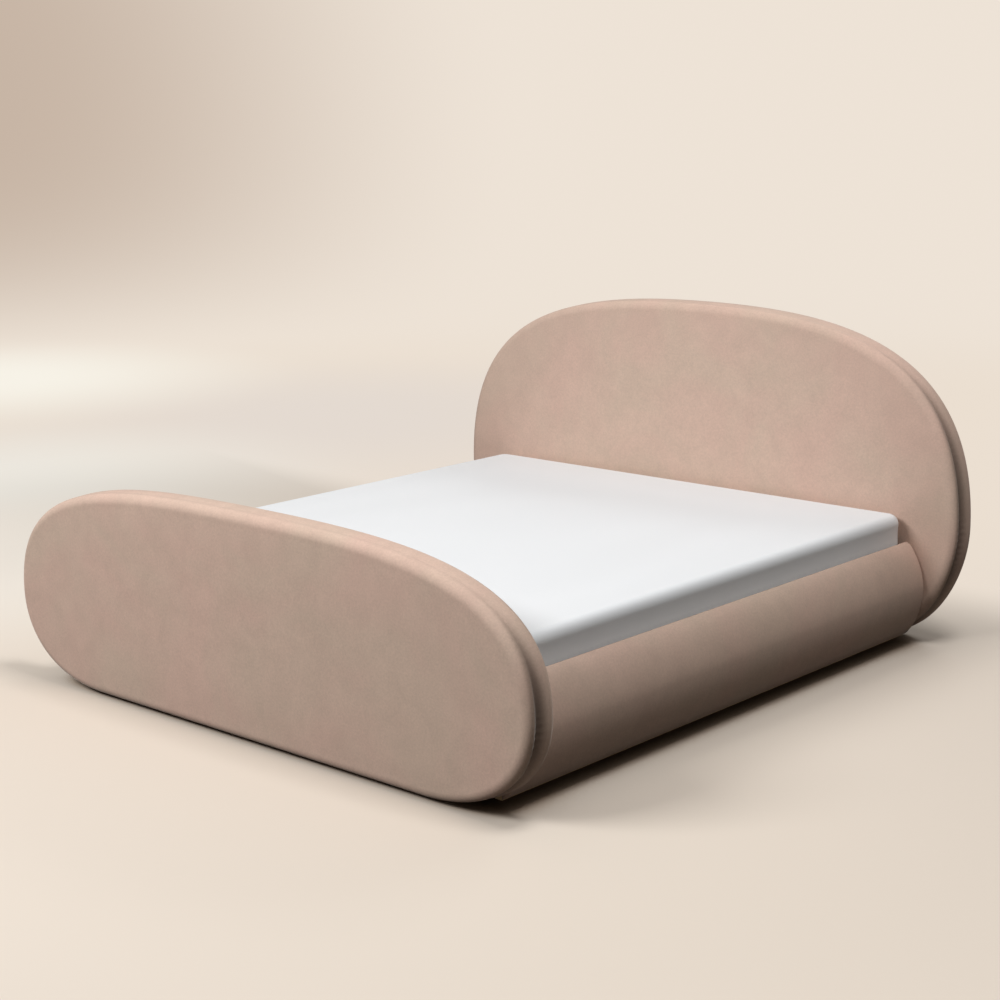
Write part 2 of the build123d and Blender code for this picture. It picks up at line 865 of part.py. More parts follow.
eye_span = (eye_low, eye_high)
with BuildPart() as strut_cylinder:
    add(round_bars([strut_base], strut_eye_radius, *eye_span))
    with BuildSketch(strut_axis(strut_base, 1)):
        Circle(strut_rod_radius)
    extrude(amount=strut_eye_reach)
    with BuildSketch(strut_axis(strut_base, 1).offset(strut_eye_reach)):
        Circle(strut_radius)
    extrude(amount=strut_length)
    with BuildSketch(strut_axis(strut_base, 1).offset(strut_eye_reach + plate_thickness)):
        Circle(strut_radius - strut_wall)
    extrude(amount=strut_length, mode=Mode.SUBTRACT)
    add(round_bars([strut_base], strut_stud_radius + pivot_gap, *eye_span), mode=Mode.SUBTRACT)

rod_length = strut_span.length - strut_overlap_gap
with BuildPart() as strut_rod:
    add(round_bars([short_arm_tip], strut_eye_radius, *eye_span))
    with BuildSketch(strut_axis(short_arm_tip, -1)):
        Circle(strut_rod_radius)
    extrude(amount=rod_length)
    add(round_bars([short_arm_tip], strut_stud_radius + pivot_gap, *eye_span), mode=Mode.SUBTRACT)

for name, parts in (
    ("lift_plate", [lift_plate.part]),
    ("short_arm", [short_arm.part]),
    ("long_arm", [long_arm.part]),
    ("lift_bar", [lift_bar.part]),
    ("base_pins", base_pins),
    ("bar_pins", bar_pins),
    ("strut_cylinder", [strut_cylinder.part]),
    ("strut_rod", [strut_rod.part]),
):
    for side, pieces in (("right", parts), ("left", [mirrored(piece) for piece in parts])):
        node = pieces[0] if len(pieces) == 1 else Compound(children=pieces)
        save(node, f"{name}_{side}")
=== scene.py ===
import json
import math

import bpy
import numpy as np
from mathutils import Matrix, Vector


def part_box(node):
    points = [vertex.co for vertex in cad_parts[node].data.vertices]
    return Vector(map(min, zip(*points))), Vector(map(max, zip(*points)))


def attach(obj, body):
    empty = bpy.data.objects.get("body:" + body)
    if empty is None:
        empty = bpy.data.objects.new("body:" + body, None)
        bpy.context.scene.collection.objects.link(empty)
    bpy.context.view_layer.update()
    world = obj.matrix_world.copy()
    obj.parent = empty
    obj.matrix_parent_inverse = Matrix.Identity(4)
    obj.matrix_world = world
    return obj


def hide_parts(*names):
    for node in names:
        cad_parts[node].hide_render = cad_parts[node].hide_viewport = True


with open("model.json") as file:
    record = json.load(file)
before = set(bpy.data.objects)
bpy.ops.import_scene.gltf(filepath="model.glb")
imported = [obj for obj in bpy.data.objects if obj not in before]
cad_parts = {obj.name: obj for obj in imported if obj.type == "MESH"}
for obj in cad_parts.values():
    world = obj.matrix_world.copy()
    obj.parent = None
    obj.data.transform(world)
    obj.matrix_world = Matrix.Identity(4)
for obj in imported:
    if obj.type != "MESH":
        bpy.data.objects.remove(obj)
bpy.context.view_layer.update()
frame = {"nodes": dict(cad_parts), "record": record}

bl_info = {
    "name": "Oval Ottoman Bed",
    "version": (1, 0, 0),
    "blender": (4, 5, 0),
    "location": "View3D > Sidebar > Bed",
    "description": "Dresses an ottoman bed with velvet, cloth, wood and metal in a plain studio",
    "category": "Object",
}

mm = 0.001

# Bodies of the frame that the pieces ride on
base_body = "bed_base"
lift_body = "lift_frame"

# Outlines of the two panels, as on the frame: the height of the widest place, half the width of the flat
# foot, and the share of its span at which each of the four curve handles lies
headboard_shape = (412 * mm, 793 * mm, (0.534, 0.889, 0.477, 0.540))
footboard_shape = (295 * mm, 698 * mm, (0.568, 0.950, 0.586, 0.621))
headboard_back_radius = 8 * mm
footboard_back_radius = 20 * mm

# Barrel section of the rails: the height of its widest place and the shares of its curve handles
rail_widest = 205 * mm
rail_shape_shares = (0.453, 0.386, 0.601, 0.271)

# Width of the pull straps, which lie with their outer edges on the sides of their node's box
strap_width = 40 * mm

# Points round each piece, and the rings that fill a panel's face
panel_columns = 1150
pad_columns = 240
inner_panel_columns = 700
mattress_columns = 760
face_ring_count = 21


class UpholsteryValues(bpy.types.PropertyGroup):
    """Sizes and colours of the velvet panels and rails."""

    velvet: bpy.props.FloatVectorProperty(
        name="Velvet", description="Colour of the pile seen straight on",
        default=(0.618, 0.439, 0.360), subtype="COLOR", size=3, min=0, max=1,
    )
    velvet_light: bpy.props.FloatVectorProperty(
        name="Brushed velvet", description="Colour where the pile is brushed the other way",
        default=(0.590, 0.446, 0.358), subtype="COLOR", size=3, min=0, max=1,
    )
    edge_radius: bpy.props.FloatProperty(
        name="Edge radius", description="Radius of the padded front edge",
        default=35 * mm, unit="LENGTH",
    )
    seam_place: bpy.props.FloatProperty(
        name="Seam place", description="Depth of the seam behind the front face",
        default=42 * mm, unit="LENGTH",
    )
    seam_depth: bpy.props.FloatProperty(
        name="Seam depth", description="How far the seam pulls the cover in",
        default=13 * mm, unit="LENGTH",
    )
    seam_width: bpy.props.FloatProperty(
        name="Seam width", description="Half width of the valley at the seam",
        default=14 * mm, unit="LENGTH",
    )
    pucker_depth: bpy.props.FloatProperty(
        name="Pucker depth", description="Depth of the small gathers beside the seam",
        default=1.5 * mm, unit="LENGTH",
    )
    pucker_length: bpy.props.FloatProperty(
        name="Pucker length", description="Distance from one gather to the next",
        default=22 * mm, unit="LENGTH",
    )
    face_crown: bpy.props.FloatProperty(
        name="Face crown", description="How far the face falls back from its middle to its edge",
        default=4 * mm, unit="LENGTH",
    )
    cover_thickness: bpy.props.FloatProperty(
        name="Cover thickness", description="Thickness of the velvet with its backing",
        default=3 * mm, unit="LENGTH",
    )
    foam: bpy.props.FloatVectorProperty(
        name="Foam", description="Colour of the upholstery foam",
        default=(0.80, 0.74, 0.55), subtype="COLOR", size=3, min=0, max=1,
    )


class MattressValues(bpy.types.PropertyGroup):
    """Sizes and colours of the mattress."""

    cloth: bpy.props.FloatVectorProperty(
        name="Cloth", description="Colour of the knitted mattress cloth",
        default=(0.80, 0.82, 0.84), subtype="COLOR", size=3, min=0, max=1,
    )
    corner_radius: bpy.props.FloatProperty(
        name="Corner radius", description="Radius of the corners seen from above",
        default=46 * mm, unit="LENGTH",
    )
    top_radius: bpy.props.FloatProperty(
        name="Top radius", description="Radius of the soft top edge",
        default=33 * mm, unit="LENGTH",
    )
    base_radius: bpy.props.FloatProperty(
        name="Base radius", description="Radius of the bottom edge",
        default=24 * mm, unit="LENGTH",
    )
    crown: bpy.props.FloatProperty(
        name="Crown", description="How far the top rises in the middle",
        default=4 * mm, unit="LENGTH",
    )
    side_waist: bpy.props.FloatProperty(
        name="Side waist", description="How far the side draws in below the top edge",
        default=1.5 * mm, unit="LENGTH",
    )


class StageValues(bpy.types.PropertyGroup):
    """Floor, backdrop, lamps and camera."""

    floor: bpy.props.FloatVectorProperty(
        name="Floor", description="Colour of the floor near the bed",
        default=(0.83, 0.735, 0.635), subtype="COLOR", size=3, min=0, max=1,
    )
    # Painted light: a pale pool painted on the floor at the far left
    glow: bpy.props.FloatVectorProperty(
        name="Glow", description="Colour of the pale glow at the far left of the floor",
        default=(0.93, 0.89, 0.80), subtype="COLOR", size=3, min=0, max=1,
    )
    # Painted shade: a darker pool painted on the backdrop at the left
    painted_wall_shade: bpy.props.FloatVectorProperty(
        name="Dusk", description="Colour of the darker left of the backdrop",
        default=(0.57, 0.46, 0.375), subtype="COLOR", size=3, min=0, max=1,
    )
    azimuth: bpy.props.FloatProperty(
        name="Azimuth", description="Turn of the camera about the bed",
        default=math.radians(41.73), subtype="ANGLE",
    )
    elevation: bpy.props.FloatProperty(
        name="Elevation", description="Height angle of the camera",
        default=math.radians(12.026), subtype="ANGLE",
    )
    roll: bpy.props.FloatProperty(
        name="Roll", description="Tilt of the camera about its own axis",
        default=math.radians(-0.506), subtype="ANGLE",
    )
    camera_place: bpy.props.FloatVectorProperty(
        name="Camera place", description="Where the camera stands",
        default=(4.105, -4.616, 1.859), subtype="XYZ", size=3, unit="LENGTH",
    )
    lens: bpy.props.FloatProperty(
        name="Lens", description="Focal length on a sensor 36 mm wide", default=69.38, unit="CAMERA",
    )
    wall: bpy.props.FloatVectorProperty(
        name="Wall", description="Colour of the backdrop above the floor",
        default=(0.85, 0.765, 0.675), subtype="COLOR", size=3, min=0, max=1,
    )
    key_level: bpy.props.FloatProperty(
        name="Key light", description="Level that the overhead lamp gives a surface that faces it",
        default=0.48,
    )
    front_level: bpy.props.FloatProperty(
        name="Front light", description="Level that the front lamp gives a surface that faces it",
        default=0.77,
    )
    rim_level: bpy.props.FloatProperty(
        name="Rim light", description="Level that the lamp behind the headboard gives", default=0.15,
    )
    air_level: bpy.props.FloatProperty(
        name="Air light", description="Level of the soft light from all round", default=0.33,
    )


# Shader graph helpers

def put(tree, kind, values=None, **settings):
    """One shader node with its settings; a value that is another node's output is linked."""
    made = tree.nodes.new(kind)
    for key, value in settings.items():
        setattr(made, key, value)
    for key, value in (values or {}).items():
        if isinstance(value, bpy.types.NodeSocket):
            tree.links.new(value, made.inputs[key])
        else:
            made.inputs[key].default_value = value
    return made


def calc(tree, operation, first, second=0.0):
    """Output of a sum, product or other operation on two values."""
    return put(tree, "ShaderNodeMath", {0: first, 1: second}, operation=operation).outputs[0]


def scaled(tree, colour, factor):
    """Output of a colour or a vector times one factor."""
    return put(tree, "ShaderNodeVectorMath", {0: colour, "Scale": factor}, operation="SCALE").outputs[0]


def product(tree, first, second):
    """Output of two colours or vectors multiplied part by part."""
    return put(tree, "ShaderNodeVectorMath", {0: first, 1: second}, operation="MULTIPLY").outputs[0]


def blend_colour(tree, share, first, second):
    """Output of a mix of two colours by a share."""
    return put(tree, "ShaderNodeMix", {0: share, 6: first, 7: second}, data_type="RGBA").outputs[2]


def spread(tree, value, low, high, new_low=0.0, new_high=1.0, how="LINEAR"):
    """Output of a value mapped from one span to another."""
    keys = {"Value": value, "From Min": low, "From Max": high, "To Min": new_low, "To Max": new_high}
    return put(tree, "ShaderNodeMapRange", keys, interpolation_type=how).outputs[0]


def noise(tree, vector, scale, detail=2.0, roughness=0.5, distortion=0.0):
    """Output of a noise pattern."""
    keys = {"Vector": vector, "Scale": scale, "Detail": detail, "Roughness": roughness}
    return put(tree, "ShaderNodeTexNoise", {**keys, "Distortion": distortion}).outputs[0]


def new_group(name, outputs, inputs):
    """Empty shader group and its two end nodes. Its inputs are a vector and what the values say: one
    number, three of a vector or four of a colour. Its outputs are numbers, except for Color."""
    tree = bpy.data.node_groups.new(name, "ShaderNodeTree")
    kinds = {1: "NodeSocketFloat", 3: "NodeSocketVector", 4: "NodeSocketColor"}
    tree.interface.new_socket("Vector", in_out="INPUT", socket_type=kinds[3])
    for label, value in inputs.items():
        socket = tree.interface.new_socket(label, in_out="INPUT", socket_type=kinds[np.size(value)])
        socket.default_value = value
    for label in outputs:
        kind = kinds[4 if label == "Color" else 1]
        tree.interface.new_socket(label, in_out="OUTPUT", socket_type=kind)
    return tree, tree.nodes.new("NodeGroupInput"), tree.nodes.new("NodeGroupOutput")


def deliver(tree, end, **results):
    """Links results to the sockets of a group's end node."""
    for name, result in results.items():
        tree.links.new(result, end.inputs[name])


def make_nap_group():
    """Velvet nap: broad patches where the pile lies the other way, finer brush marks and pile grain."""
    tree, start, end = new_group("velvet nap", ("Color", "Roughness", "Height"), {
        "Base": (0.5, 0.4, 0.3, 1), "Brushed": (0.6, 0.5, 0.4, 1), "Patch Scale": 2.0,
    })
    vector = start.outputs["Vector"]
    broad = noise(tree, vector, start.outputs["Patch Scale"], 4.0, 0.55, 0.9)
    middle = noise(tree, vector, 13.0, 4.0, 0.6, 0.5)
    grain = noise(tree, vector, 150.0, 3.0, 0.7)
    pile = noise(tree, vector, 900.0, 2.0, 0.6)
    hue = spread(tree, broad, 0.38, 0.62)
    colour = blend_colour(tree, hue, start.outputs["Base"], start.outputs["Brushed"])
    for pattern, darkest, lightest in ((middle, 0.955, 1.045), (grain, 0.93, 1.07), (pile, 0.96, 1.04)):
        colour = scaled(tree, colour, spread(tree, pattern, 0.3, 0.7, darkest, lightest))
    rough = spread(tree, middle, 0.3, 0.7, 0.75, 0.9)
    deliver(tree, end, Color=colour, Roughness=rough, Height=calc(tree, "ADD", pile, grain))
    return tree


def make_weave_group():
    """Plain weave: two sets of threads that cross, on all three axes so that every side shows it, with
    slack in the cloth as slow swells in its height."""
    tree, start, end = new_group("cloth weave", ("Color", "Height"), {
        "Thread": (0.5, 0.5, 0.5, 1), "Gap": (0.3, 0.3, 0.3, 1), "Threads": 400.0,
    })
    vector = start.outputs["Vector"]
    turned = scaled(tree, vector, start.outputs["Threads"])
    waves = put(tree, "ShaderNodeVectorMath", {0: turned}, operation="SINE").outputs[0]
    warp, weft, rise = put(tree, "ShaderNodeSeparateXYZ", {0: waves}).outputs
    height = spread(tree, calc(tree, "ADD", calc(tree, "ADD", warp, weft), rise), -2.2, 2.2)
    slub = noise(tree, vector, 35.0, 3.0, 0.6)
    share = calc(tree, "MULTIPLY", height, spread(tree, slub, 0.3, 0.7, 0.85, 1.1))
    colour = blend_colour(tree, share, start.outputs["Gap"], start.outputs["Thread"])
    slack = calc(tree, "MULTIPLY", noise(tree, vector, 7.0, 2.0, 0.5), 12.0)
    deliver(tree, end, Color=colour, Height=calc(tree, "ADD", height, slack))
    return tree


def make_grain_group():
    """Wood grain: noise drawn out along the grain, with growth bands and pores."""
    tree, start, end = new_group("wood grain", ("Color", "Roughness", "Height"), {
        "Early wood": (0.7, 0.5, 0.3, 1), "Late wood": (0.5, 0.35, 0.2, 1), "Grain": (6, 90, 90),
    })
    along = product(tree, start.outputs["Vector"], start.outputs["Grain"])
    bands = noise(tree, along, 0.35, 3.0, 0.5, 1.4)
    fibres = noise(tree, along, 4.0, 4.0, 0.6)
    pores = spread(tree, fibres, 0.4, 0.7, 0.0, 0.3)
    late = calc(tree, "ADD", spread(tree, bands, 0.35, 0.65, 0.0, 0.75), pores)
    colour = blend_colour(tree, late, start.outputs["Early wood"], start.outputs["Late wood"])
    deliver(tree, end, Color=colour, Roughness=spread(tree, fibres, 0.3, 0.7, 0.42, 0.62), Height=fibres)
    return tree


def make_metal_group():
    """Metal finish: fine scratches drawn out one way, smudges and a slight change of tone."""
    tree, start, end = new_group("metal finish", ("Color", "Roughness", "Height"), {
        "Base": (0.6, 0.6, 0.6, 1), "Scratch": (40, 40, 900), "Polish": 0.3,
    })
    vector = start.outputs["Vector"]
    scratches = noise(tree, product(tree, vector, start.outputs["Scratch"]), 1.0, 3.0, 0.7)
    smudge = noise(tree, vector, 14.0, 3.0, 0.6)
    colour = scaled(tree, start.outputs["Base"], spread(tree, smudge, 0.3, 0.7, 0.88, 1.06))
    rough = calc(tree, "ADD", start.outputs["Polish"], spread(tree, scratches, 0.3, 0.7, -0.06, 0.12))
    smeared = calc(tree, "ADD", rough, spread(tree, smudge, 0.4, 0.7, 0.0, 0.08))
    deliver(tree, end, Color=colour, Roughness=smeared, Height=scratches)
    return tree


def new_material(name):
    """Material with a Principled BSDF, and the object's own coordinates."""
    material = bpy.data.materials.new(name)
    material.use_nodes = True
    tree = material.node_tree
    shader = tree.nodes["Principled BSDF"]
    vector = put(tree, "ShaderNodeTexCoord").outputs["Object"]
    return material, tree, shader, vector


def set_constants(shader, values):
    """Sets what is the same all over a surface on the shader's own sockets."""
    for name, value in values.items():
        shader.inputs[name].default_value = value


def add_bump(tree, shader, height, strength, distance):
    """Links a height to the shader as bump."""
    bump = put(tree, "ShaderNodeBump", {"Height": height, "Strength": strength, "Distance": distance})
    tree.links.new(bump.outputs["Normal"], shader.inputs["Normal"])


def finish_material(tree, shader, group, values, strength, distance):
    """Places a finish group with its values and links its outputs to the shader."""
    made = put(tree, "ShaderNodeGroup", values, node_tree=finish_groups()[group])
    tree.links.new(made.outputs["Color"], shader.inputs["Base Color"])
    if "Roughness" in made.outputs:
        tree.links.new(made.outputs["Roughness"], shader.inputs["Roughness"])
    add_bump(tree, shader, made.outputs["Height"], strength, distance)
    return made


groups = {}


def finish_groups():
    """The shared finish groups, made once."""
    if not groups:
        groups.update(nap=make_nap_group(), weave=make_weave_group(), grain=make_grain_group(),
                      metal=make_metal_group())
    return groups


def velvet_material():
    """Short pile velvet: soft sheen at grazing angles, patches of brushed nap, and painted shade in the
    seam's
    valley: the colour darkens where the piece's own seam attribute says how near a point lies to the seam."""
    if "velvet_pile" in bpy.data.materials:
        return bpy.data.materials["velvet_pile"]
    values = bpy.context.scene.bed_upholstery
    material, tree, shader, vector = new_material("velvet_pile")
    colours = {"Base": (*values.velvet, 1), "Brushed": (*values.velvet_light, 1)}
    made = finish_material(tree, shader, "nap", {"Vector": vector, **colours}, 0.25, 0.6 * mm)
    # Painted shade: the base colour falls to a third of itself in the seam's valley
    seam_shade_share = put(tree, "ShaderNodeAttribute", attribute_name="seam").outputs["Fac"]
    painted_seam_shade = spread(tree, seam_shade_share, 0.1, 1.0, 1.0, 0.33)
    tree.links.new(scaled(tree, made.outputs["Color"], painted_seam_shade), shader.inputs["Base Color"])
    set_constants(shader, {
        "Sheen Weight": 0.29, "Sheen Roughness": 0.3, "Sheen Tint": (0.93, 0.96, 0.97, 1),
        "Specular IOR Level": 0.1,
    })
    return material


def foam_material():
    """Open cell upholstery foam."""
    if "open_foam" in bpy.data.materials:
        return bpy.data.materials["open_foam"]
    material, tree, shader, vector = new_material("open_foam")
    cells = put(tree, "ShaderNodeTexVoronoi", {"Vector": vector, "Scale": 700.0}).outputs["Distance"]
    tone = spread(tree, cells, 0.0, 0.7, 0.7, 1.05)
    colour = tuple(bpy.context.scene.bed_upholstery.foam)
    tree.links.new(scaled(tree, colour, tone), shader.inputs["Base Color"])
    add_bump(tree, shader, cells, 0.5, 1 * mm)
    set_constants(shader, {"Roughness": 0.95})
    return material


def woven_material(name, thread, gap, threads, rough, sheen):
    """Woven or knitted cloth."""
    material, tree, shader, vector = new_material(name)
    values = {"Vector": vector, "Thread": (*thread, 1), "Gap": (*gap, 1), "Threads": threads}
    finish_material(tree, shader, "weave", values, 0.3, 0.4 * mm)
    set_constants(shader, {
        "Roughness": rough, "Sheen Weight": sheen, "Sheen Roughness": 0.5, "Specular IOR Level": 0.2,
    })
    return material


def wood_material(name, early, late, grain, coat=0.0):
    """Planed or lacquered wood with its grain along one axis."""
    material, tree, shader, vector = new_material(name)
    values = {"Vector": vector, "Early wood": (*early, 1), "Late wood": (*late, 1), "Grain": grain}
    finish_material(tree, shader, "grain", values, 0.15, 0.3 * mm)
    set_constants(shader, {"Coat Weight": coat, "Coat Roughness": 0.3})
    return material


def metal_material(name, base, scratch, polish, metallic=1.0):
    """Plated, polished or painted metal."""
    material, tree, shader, vector = new_material(name)
    values = {"Vector": vector, "Base": (*base, 1), "Scratch": scratch, "Polish": polish}
    finish_material(tree, shader, "metal", values, 0.08, 0.1 * mm)
    set_constants(shader, {"Metallic": metallic})
    return material


def moulded_material(name, base, rough, grain_scale):
    """Moulded plastic or rubber with a fine cast texture."""
    material, tree, shader, vector = new_material(name)
    texture = noise(tree, vector, grain_scale, 3.0, 0.6)
    cloud = noise(tree, vector, 18.0, 2.0, 0.5)
    tone = spread(tree, cloud, 0.3, 0.7, 0.85, 1.15)
    tree.links.new(scaled(tree, base, tone), shader.inputs["Base Color"])
    tree.links.new(spread(tree, texture, 0.3, 0.7, rough - 0.08, rough + 0.08), shader.inputs["Roughness"])
    add_bump(tree, shader, texture, 0.2, 0.2 * mm)
    return material


# Mesh helpers

def ring_faces(rows, columns):
    """Quads between each ring of points and the next, closed round the ring."""
    row = np.arange(rows - 1)[:, None] * columns
    column = np.arange(columns)[None, :]
    after = (column + 1) % columns
    quads = np.stack([row + column, row + after, row + columns + after, row + columns + column], -1)
    return quads.reshape(-1, 4)


def signed_volume(points, faces):
    """Six times the volume that the faces close in, positive where they face outward."""
    a, b, c = (points[faces[:, k]] for k in range(3))
    total = np.einsum("ij,ij->i", a, np.cross(b, c)).sum()
    if faces.shape[1] == 4:
        d = points[faces[:, 3]]
        total += np.einsum("ij,ij->i", a, np.cross(c, d)).sum()
    return total


def joined(x, y, z):
    """Points from their coordinates, spread to one common shape."""
    return np.stack(np.broadcast_arrays(x, y, z), -1)


def smooth_object(name, points, faces):
    """Object in the scene with a smooth shaded mesh of these points and faces."""
    mesh = bpy.data.meshes.new(name)
    mesh.from_pydata(points.tolist(), [], faces)
    mesh.polygons.foreach_set("use_smooth", np.ones(len(mesh.polygons), bool))
    mesh.update()
    piece = bpy.data.objects.new(name, mesh)
    bpy.context.scene.collection.objects.link(piece)
    return piece


def closed_rings(name, rings, start=None, end=None):
    """Closed mesh from rings of points; each end closes in a fan to a point, or in one flat face."""
    rows, columns = rings.shape[:2]
    points = rings.reshape(-1, 3)
    quads = ring_faces(rows, columns)
    column = np.arange(columns)
    after = (column + 1) % columns
    last = (rows - 1) * columns
    fans = []
    flats = []
    if start is None:
        flats.append(column[::-1].tolist())
    else:
        points = np.vstack([points, start])
        fans.append(np.stack([np.full(columns, len(points) - 1), after, column], -1))
    if end is None:
        flats.append((last + column).tolist())
    else:
        points = np.vstack([points, end])
        fans.append(np.stack([np.full(columns, len(points) - 1), last + column, last + after], -1))
    volume = signed_volume(points, quads) + sum(signed_volume(points, fan) for fan in fans)
    faces = quads.tolist() + [face for fan in fans for face in fan.tolist()] + flats
    if volume < 0:
        faces = [face[::-1] for face in faces]
    return smooth_object(name, points, faces)


def seat(piece, material, body, nodes=()):
    """Gives a piece its material, its body and its slot, and hides the frame's nodes that it stands for."""
    piece.data.materials.append(material)
    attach(piece, body)
    if nodes:
        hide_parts(*nodes)


def bell(distance, reach):
    """Share that falls from 1 with distance: e to the minus square of distance over reach."""
    return np.exp(-((distance / reach) ** 2))


def quarter_turn(count):
    """Angles from none to a quarter turn."""
    return np.linspace(0, np.pi / 2, count)


def curve_points(handles, count):
    """Points of a cubic curve: its handles weighted by (1-t)^3, 3t(1-t)^2, 3t^2(1-t) and t^3."""
    t = np.linspace(0, 1, count)[:, None]
    weights = ((1 - t) ** 3, 3 * t * (1 - t) ** 2, 3 * t * t * (1 - t), t ** 3)
    return sum(weight * np.array(handle, float) for weight, handle in zip(weights, handles))


def bulged_side(start, widest, end, shares, count):
    """Two curves in X and Z, from a start at the top over the widest place to an end at the foot. Each
    share places a handle on its span: at the top, above and below the widest place, and at the foot."""
    (start_x, top), (reach, middle), (end_x, foot) = start, widest, end
    upper = [start, (start_x + (reach - start_x) * shares[0], top),
             (reach, middle + (top - middle) * shares[1]), widest]
    lower = [widest, (reach, middle - (middle - foot) * shares[2]),
             (end_x + (reach - end_x) * shares[3], foot), end]
    return np.vstack([curve_points(upper, count), curve_points(lower, count)[1:]])


def evenly(loop, count):
    """The same closed loop with its points a steady distance apart."""
    closed = np.vstack([loop, loop[:1]])
    steps = np.linalg.norm(np.diff(closed, axis=0), axis=1)
    length = np.concatenate([[0], np.cumsum(steps)])
    places = np.linspace(0, length[-1], count, endpoint=False)
    return np.stack([np.interp(places, length, closed[:, axis]) for axis in range(2)], -1)


def outward(loop):
    """Unit normals of a clockwise loop: the direction of travel turned a quarter turn to the left."""
    travel = np.roll(loop, -1, axis=0) - np.roll(loop, 1, axis=0)
    travel /= np.linalg.norm(travel, axis=1)[:, None]
    return np.stack([-travel[:, 1], travel[:, 0]], -1)


def panel_outline(node, shape, count):
    """Oval of a panel in X and Z, clockwise from the middle of the top: curved sides and a flat foot."""
    low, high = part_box(node)
    widest, flat, shares = shape
    side = bulged_side((0, high.z), (high.x, widest), (flat, low.z), shares, 400)
    sole = np.stack([np.linspace(flat, 0, 60), np.full(60, low.z)], -1)
    right = np.vstack([side, sole[1:]])
    left = right[-2:0:-1] * [-1, 1]
    return evenly(np.vstack([right, left]), count)


def carried(loop, inward, depth):
    """Rings of a profile carried round a loop: each ring lies inward of the loop by its first value, or
    by its own value at each point of the loop, and at its second value along Y."""
    flat = loop - outward(loop) * np.reshape(inward, (len(depth), -1, 1))
    return joined(flat[..., 0], depth[:, None], flat[..., 1])


def face_rows(edge, height, depth, rows):
    """Rings that fill a face: the edge ring drawn to a centre at this height and depth by a share r,
    and its depth brought to the centre's by r to the fourth power."""
    centre = np.array([0, height])
    r = np.linspace(0, 1, rows + 2)[1:-1, None] ** 0.8
    flat = centre + (edge[:, [0, 2]] - centre) * r[..., None]
    return joined(flat[..., 0], depth + (edge[:, 1] - depth) * r ** 4, flat[..., 1])


def panel_body(name, rings, height, face, back, face_count, back_count):
    """Closed body of a panel: its rings with rows that fill the face and the back up to their centres,
    which lie at one height and at the depths face and back."""
    front_rows = face_rows(rings[0], height, face, face_count)
    back_rows = face_rows(rings[-1], height, back, back_count)[::-1]
    rows = np.concatenate([front_rows, rings, back_rows])
    return closed_rings(name, rows, np.array([0, face, height]), np.array([0, back, height]))


def gathers(loop, wavelength):
    """Small gathers along a seam, from 0 to 1: a sine whose phase wanders on two slower sines."""
    length = np.linalg.norm(loop - np.roll(loop, 1, axis=0), axis=1).sum()
    turns = round(length / wavelength)
    phase = np.linspace(0, 2 * np.pi, len(loop), endpoint=False)
    wander = 2.1 * np.sin(7 * phase + 0.6) + 1.4 * np.sin(23 * phase + 2.0)
    strength = 0.55 + 0.45 * np.sin(11 * phase + 1.1) * np.sin(5 * phase)
    return strength * (0.5 + 0.5 * np.sin(turns * phase + wander))


def panel_cover(name, loop, front, depth, height, rim):
    """Closed velvet cover of a panel. Its profile runs out over the face, round the padded edge, into the
    seam's valley with a stitch line in it, over the band, round the back edge of radius rim, and returns
    on the inside. The valley is deep at the panel's sides and foot and fades towards its top. The seam
    attribute is 1 in the valley's deepest part and 0 away from it; the velvet paints shade into its colour
    by it."""
    values = bpy.context.scene.bed_upholstery
    radius = values.edge_radius
    seam = values.seam_place
    thick = values.cover_thickness
    band_bulge = 1.5 * mm
    band_start = 28 * mm
    stitch_depth = 0.6 * mm
    stitch_width = 1.3 * mm
    lining_gap = 1.5 * mm
    hem = 6 * mm
    turn = quarter_turn(12)
    roll_inward = radius * (1 - np.sin(turn))
    roll_depth = radius * (1 - np.cos(turn)) + values.face_crown * (1 - turn / turn[-1])
    beside_stitch = np.array([-3, -1.6, -0.8, 0, 0.8, 1.6, 3, 6, 10, 15, 21]) * mm
    band_depth = np.concatenate([seam + beside_stitch, np.linspace(seam + band_start, depth - rim, 8)])
    band_inward = -band_bulge * np.sin(np.pi * np.clip((band_depth - seam) / (depth - seam), 0, 1))
    back_turn = quarter_turn(8)[1:]
    outer_depth = np.concatenate([roll_depth, band_depth, depth - rim + rim * np.sin(back_turn)])
    outer_inward = np.concatenate([roll_inward, band_inward, rim * (1 - np.cos(back_turn))])
    beside = (outer_depth - seam)[:, None]
    sideways, upward = outward(loop).T
    pull = 0.08 + 0.92 * np.maximum(np.abs(sideways) ** 3, -0.8 * upward)
    valley = values.seam_depth * bell(beside, values.seam_width) + stitch_depth * bell(beside, stitch_width)
    gather = values.pucker_depth * bell(beside, 1.6 * values.seam_width)
    in_seam = (valley + gather * gathers(loop, values.pucker_length)) * pull
    outer = carried(loop, outer_inward[:, None] + in_seam, front + outer_depth)
    lining = thick + values.seam_depth + values.pucker_depth + lining_gap
    behind_face = thick + values.face_crown
    inner_depth = np.array([depth - hem, depth - rim - hem, radius, 0.45 * radius, behind_face])
    inner_inward = np.array([rim + thick, lining, lining, lining + 2 * thick, radius + thick])
    inner = carried(loop, inner_inward, front + inner_depth)
    rings = np.concatenate([outer, inner])
    cover = panel_body(name, rings, height, front, front + thick, face_ring_count, 3)
    # Mask of the shade that the velvet paints into its colour, strongest in the seam's valley
    seam_shade_marks = np.zeros(len(cover.data.vertices))
    first = face_ring_count * len(loop)
    seam_shade_rows = bell(beside, 1.5 * values.seam_width) * pull
    seam_shade_marks[first:first + seam_shade_rows.size] = seam_shade_rows.ravel()
    layer = cover.data.attributes.new("seam", "FLOAT", "POINT")
    layer.data.foreach_set("value", seam_shade_marks)
    return cover


